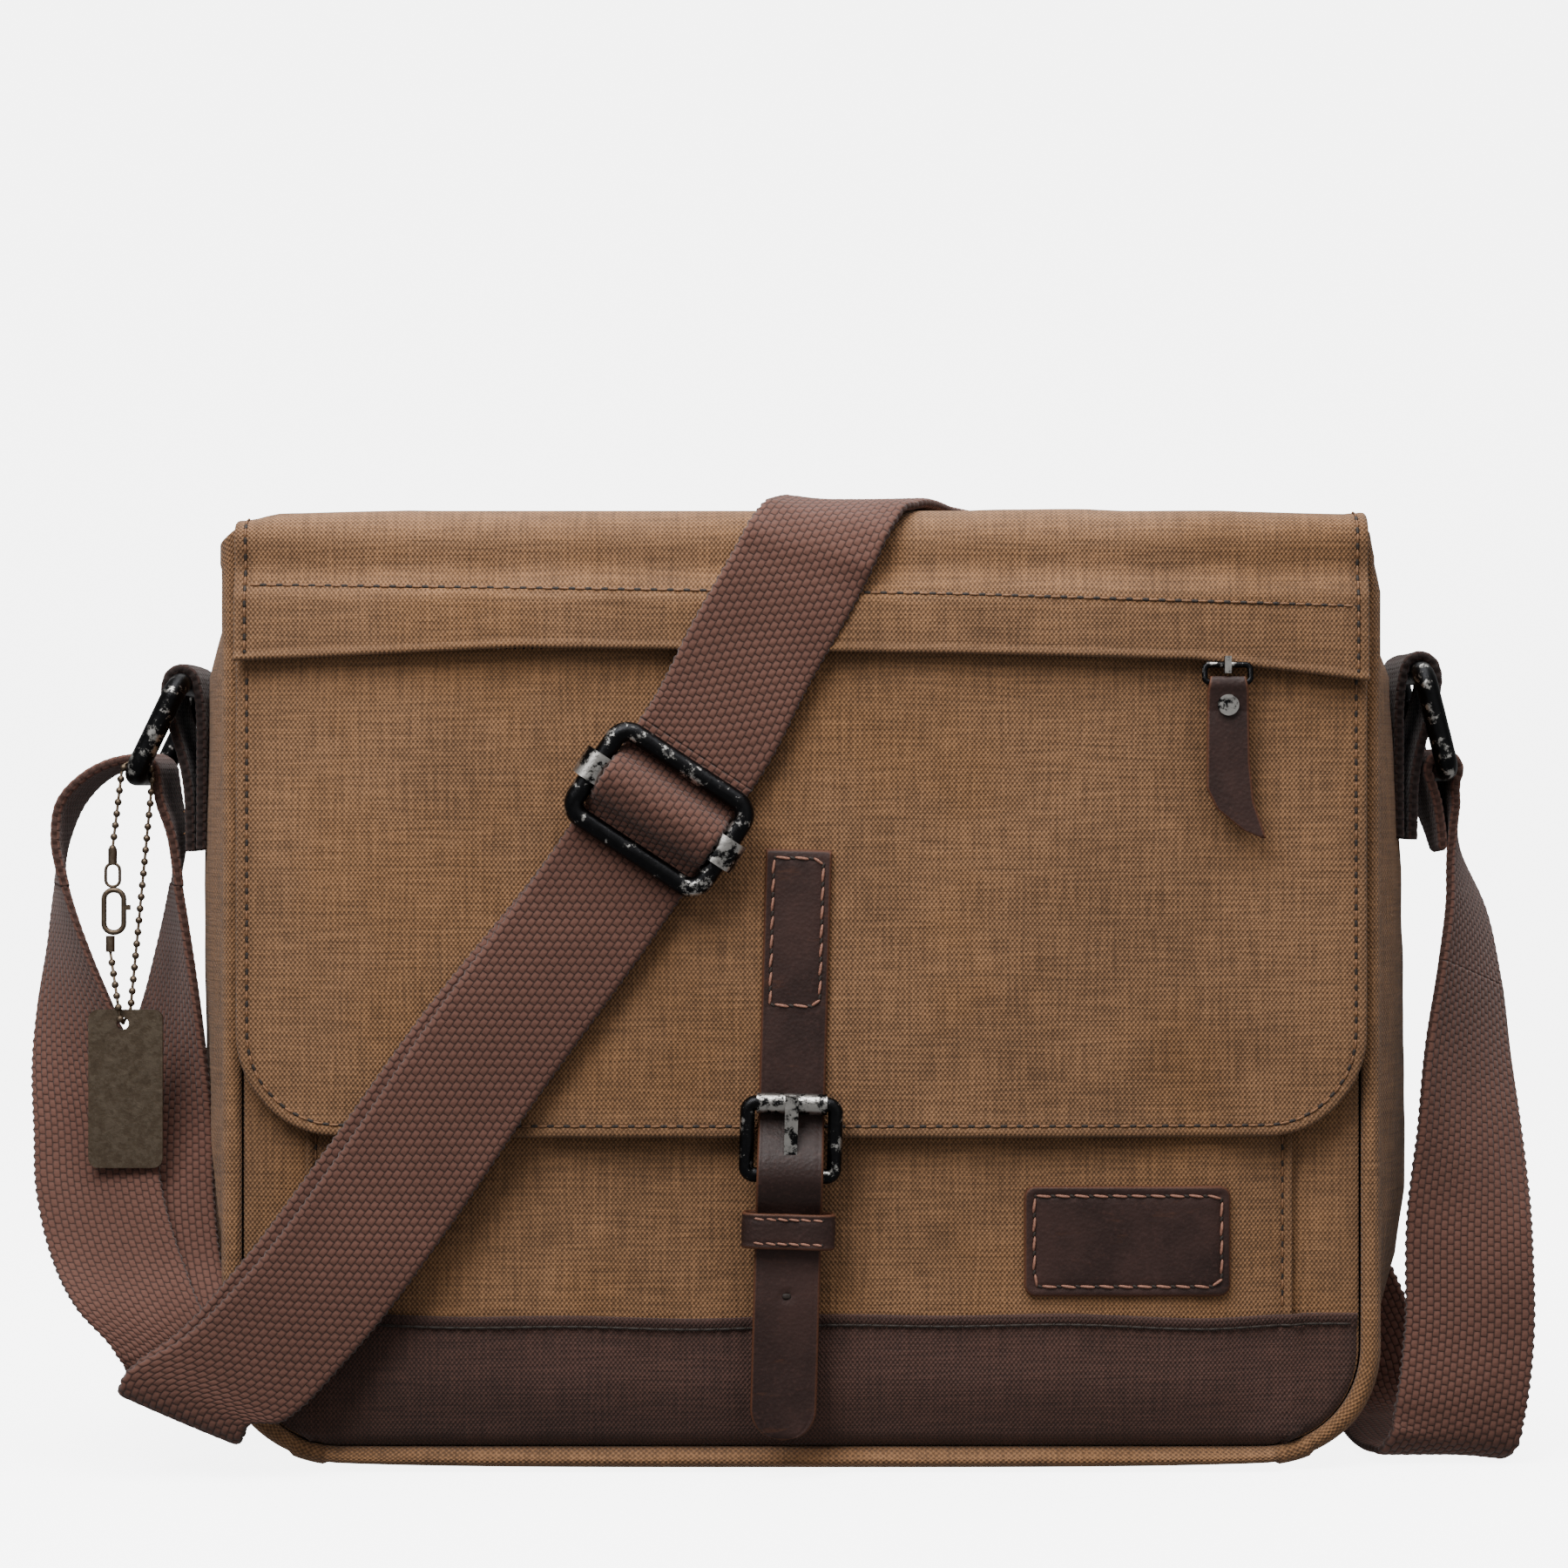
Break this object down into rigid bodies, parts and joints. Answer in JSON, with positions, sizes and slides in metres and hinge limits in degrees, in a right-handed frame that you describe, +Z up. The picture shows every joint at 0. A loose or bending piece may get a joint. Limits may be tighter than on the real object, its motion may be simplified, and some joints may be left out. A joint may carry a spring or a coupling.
{
  "type": "messenger bag",
  "caption": "Canvas messenger bag with a full front flap, buckled leather closing strap, front pocket, webbing shoulder strap on side rings and a hanging tag.",
  "frame": {"origin": "middle of the flat base, on the surface the bag stands on", "axes": "+X to the right of someone facing the bag, the front faces -Y, +Z up"},
  "size_m": [0.4731, 0.131, 0.2971],
  "materials": {
    "canvas": "waxed plain weave",
    "dark_canvas": "waxed plain weave",
    "lining": "matte",
    "board": "matte",
    "leather": "oiled, matte",
    "webbing": "coarse woven webbing",
    "tab_webbing": "coarse woven webbing",
    "black_metal": "black, rubbed through to bright metal",
    "zip_tape": "woven tape with a coil",
    "antique_metal": "aged, satin"
  },
  "bodies": {
    "bag": {"front_panel": "canvas", "back_panel": "canvas", "bottom_gusset": "canvas", "side_gusset_left": "canvas", "side_gusset_right": "canvas", "lining": "lining", "base_stiffener": "board", "front_pocket": "canvas", "base_band": "dark_canvas", "leather_label": "leather", "snap_stud": "black_metal", "strap_tab_left": "tab_webbing", "strap_tab_right": "tab_webbing", "strap_left_inner": "webbing", "strap_left_outer": "webbing", "strap_back_run": "webbing", "strap_right_drop": "webbing"},
    "flap": {"flap_top_panel": "canvas", "flap_front_panel": "canvas", "flap_yoke": "canvas", "flap_lining": "lining", "zip_tape_upper": "zip_tape", "zip_tape_lower": "zip_tape", "billet_strap": "leather", "chape_strap": "leather", "keeper_loop": "leather", "snap_socket": "black_metal", "buckle_frame": "black_metal", "strap_front_run": "webbing", "strap_front_under": "webbing", "strap_slider_frame": "black_metal", "strap_slider_bar": "black_metal"},
    "zip_slider": {"zip_slider": "black_metal"},
    "zip_pull": {"zip_pull_ring": "black_metal", "zip_pull_leather": "leather", "zip_pull_rivet": "black_metal"},
    "buckle_roller": {"buckle_roller": "black_metal"},
    "buckle_prong": {"buckle_prong": "black_metal"},
    "ring_left": {"ring_left": "black_metal", "strap_left_ring_turn": "webbing"},
    "ring_right": {"ring_right": "black_metal", "strap_right_ring_turn": "webbing"},
    "tag_chain": {"tag_chain_upper": "antique_metal", "tag_chain_lower": "antique_metal", "chain_cap_upper": "antique_metal", "chain_cap_lower": "antique_metal", "clasp_link": "antique_metal", "clasp_body": "antique_metal"},
    "tag_plate": {"tag_plate": "antique_metal"}
  },
  "joints": [
    {"name": "flap_lift", "type": "hinge", "parent": "bag", "child": "flap", "pos_m": [0, 0.05, 0.29], "axis": [-1, 0, 0], "range_deg": [0, 110]},
    {"name": "zip_slide", "type": "slide", "parent": "flap", "child": "zip_slider", "axis": [-1, 0, 0], "range_m": [0, 0.108]},
    {"name": "zip_pull_swing", "type": "hinge", "parent": "zip_slider", "child": "zip_pull", "pos_m": [0.1285, -0.06375, 0.246], "axis": [-1, 0, 0], "range_deg": [0, 110]},
    {"name": "roller_spin", "type": "hinge", "parent": "flap", "child": "buckle_roller", "pos_m": [-0.00294, -0.0667, 0.11373], "axis": [0.9996, 0, -0.0279], "continuous": true},
    {"name": "prong_lift", "type": "hinge", "parent": "flap", "child": "buckle_prong", "pos_m": [-0.00354, -0.0667, 0.09214], "axis": [0.9996, 0, -0.0279], "range_deg": [0, 12]},
    {"name": "ring_swing_left", "type": "hinge", "parent": "bag", "child": "ring_left", "pos_m": [-0.1945, 0.0015, 0.2413], "axis": [0, 1, 0], "range_deg": [0, 25]},
    {"name": "ring_swing_right", "type": "hinge", "parent": "bag", "child": "ring_right", "pos_m": [0.1945, 0.0015, 0.245], "axis": [0, -1, 0], "range_deg": [0, 25]},
    {"name": "tag_swing", "type": "hinge", "parent": "ring_left", "child": "tag_chain", "pos_m": [-0.20821, -0.0186, 0.21294], "axis": [0, 1, 0], "range_deg": [-2, 30]},
    {"name": "tag_plate_swing", "type": "hinge", "parent": "tag_chain", "child": "tag_plate", "pos_m": [-0.21011, -0.0335, 0.13584], "axis": [0, 1, 0], "range_deg": [-8, 20]}
  ]
}
